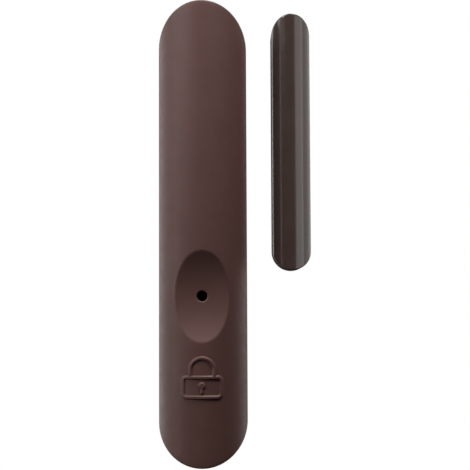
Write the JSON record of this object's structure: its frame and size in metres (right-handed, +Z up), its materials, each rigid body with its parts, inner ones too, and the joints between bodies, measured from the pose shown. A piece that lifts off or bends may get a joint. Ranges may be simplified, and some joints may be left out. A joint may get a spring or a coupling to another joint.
{
  "type": "wireless door contact sensor",
  "caption": "Two-part magnetic door contact: a pill-shaped wireless transmitter with a thumb scoop and captive cover screw, and a slim separate magnet unit.",
  "frame": {"origin": "middle of the transmitter's flat back face, which rests on the door frame", "axes": "+Z up along the transmitter; +Y into the wall, so the arched front faces -Y; +X towards the magnet unit"},
  "size_m": [0.0463, 0.0214, 0.138],
  "materials": {
    "brown_housing": "finely textured dark brown moulded plastic, matte",
    "satin_housing": "smooth darker brown moulded plastic, satin",
    "board_laminate": "green solder mask on glass-fibre laminate",
    "zinc_steel": "zinc-plated steel",
    "nickel_plate": "nickel-plated spring steel",
    "black_plastic": "black moulded plastic",
    "ivory_plastic": "natural nylon",
    "red_plastic": "red button cap",
    "clear_lens": "clear lens",
    "cell_sleeve": "shrink sleeve over a steel can",
    "reed_glass": "greenish glass",
    "can_aluminium": "drawn aluminium can",
    "copper_wire": "enamelled copper wire",
    "chip_ceramic": "tan multilayer ceramic",
    "magnet_alloy": "bare magnet alloy, ground"
  },
  "bodies": {
    "base": {"base_plate": "brown_housing", "circuit_board": "board_laminate", "pcb_screw_upper": "zinc_steel", "pcb_screw_lower": "zinc_steel", "battery_cell": "cell_sleeve", "battery_contact_positive": "nickel_plate", "battery_contact_negative": "nickel_plate", "battery_spring": "nickel_plate", "reed_glass": "reed_glass", "reed_lead_upper": "nickel_plate", "reed_lead_lower": "nickel_plate", "tamper_switch_body": "black_plastic", "tamper_spring": "nickel_plate", "learn_button_body": "black_plastic", "status_led": "clear_lens", "microcontroller": "black_plastic", "crystal": "nickel_plate", "buffer_capacitor": "can_aluminium", "radio_board": "board_laminate", "radio_shield": "nickel_plate", "antenna_coil": "copper_wire", "protection_diode": "black_plastic", "chip_capacitor_1": "chip_ceramic", "chip_capacitor_2": "chip_ceramic", "chip_capacitor_3": "chip_ceramic", "chip_resistor_1": "black_plastic", "chip_resistor_2": "black_plastic", "chip_resistor_3": "black_plastic"},
    "cover": {"front_cover": "brown_housing", "screw_retainer": "black_plastic"},
    "washer": {"screw_washer": "zinc_steel"},
    "screw": {"cover_screw": "zinc_steel"},
    "tamper": {"tamper_plunger": "ivory_plastic"},
    "button": {"learn_button_cap": "red_plastic"},
    "reed": {"reed_blade": "nickel_plate"},
    "magnet": {"magnet_base": "satin_housing", "bar_magnet": "magnet_alloy"},
    "magnet_lid": {"magnet_cover": "satin_housing"}
  },
  "joints": [
    {"name": "cover_lift", "type": "slide", "parent": "base", "child": "cover", "axis": [0, -1, 0], "range_m": [0, 0.03]},
    {"name": "cover_screw_turn", "type": "hinge", "parent": "washer", "child": "screw", "pos_m": [0, -0.0085, -0.0189], "axis": [0, -1, 0], "range_deg": [0, 1800]},
    {"name": "screw_rise", "type": "slide", "parent": "cover", "child": "washer", "axis": [0, -1, 0], "range_m": [0, 0.004]},
    {"name": "tamper_release", "type": "slide", "parent": "base", "child": "tamper", "axis": [0, -1, 0], "range_m": [0, 0.0008], "deforming": ["tamper_spring"]},
    {"name": "learn_button_press", "type": "slide", "parent": "base", "child": "button", "axis": [0, 1, 0], "range_m": [0, 0.0003], "stiffness_N_per_m": 3000},
    {"name": "magnet_slide", "type": "slide", "parent": "base", "child": "magnet", "axis": [1, 0, 0], "range_m": [0, 0.06]},
    {"name": "reed_open", "type": "hinge", "parent": "base", "child": "reed", "pos_m": [0.0072, -0.00556, 0.031], "axis": [-1, 0, 0], "range_deg": [0, 1]},
    {"name": "magnet_cover_lift", "type": "slide", "parent": "magnet", "child": "magnet_lid", "axis": [0, -1, 0], "range_m": [0, 0.018]}
  ],
  "couplings": [
    {"joint": "cover_screw_turn", "follows": "screw_rise", "rad_per_m": 7853.9},
    {"joint": "tamper_release", "follows": "cover_lift", "ratio": 0.0266},
    {"joint": "reed_open", "follows": "magnet_slide", "rad_per_m": 0.29}
  ]
}
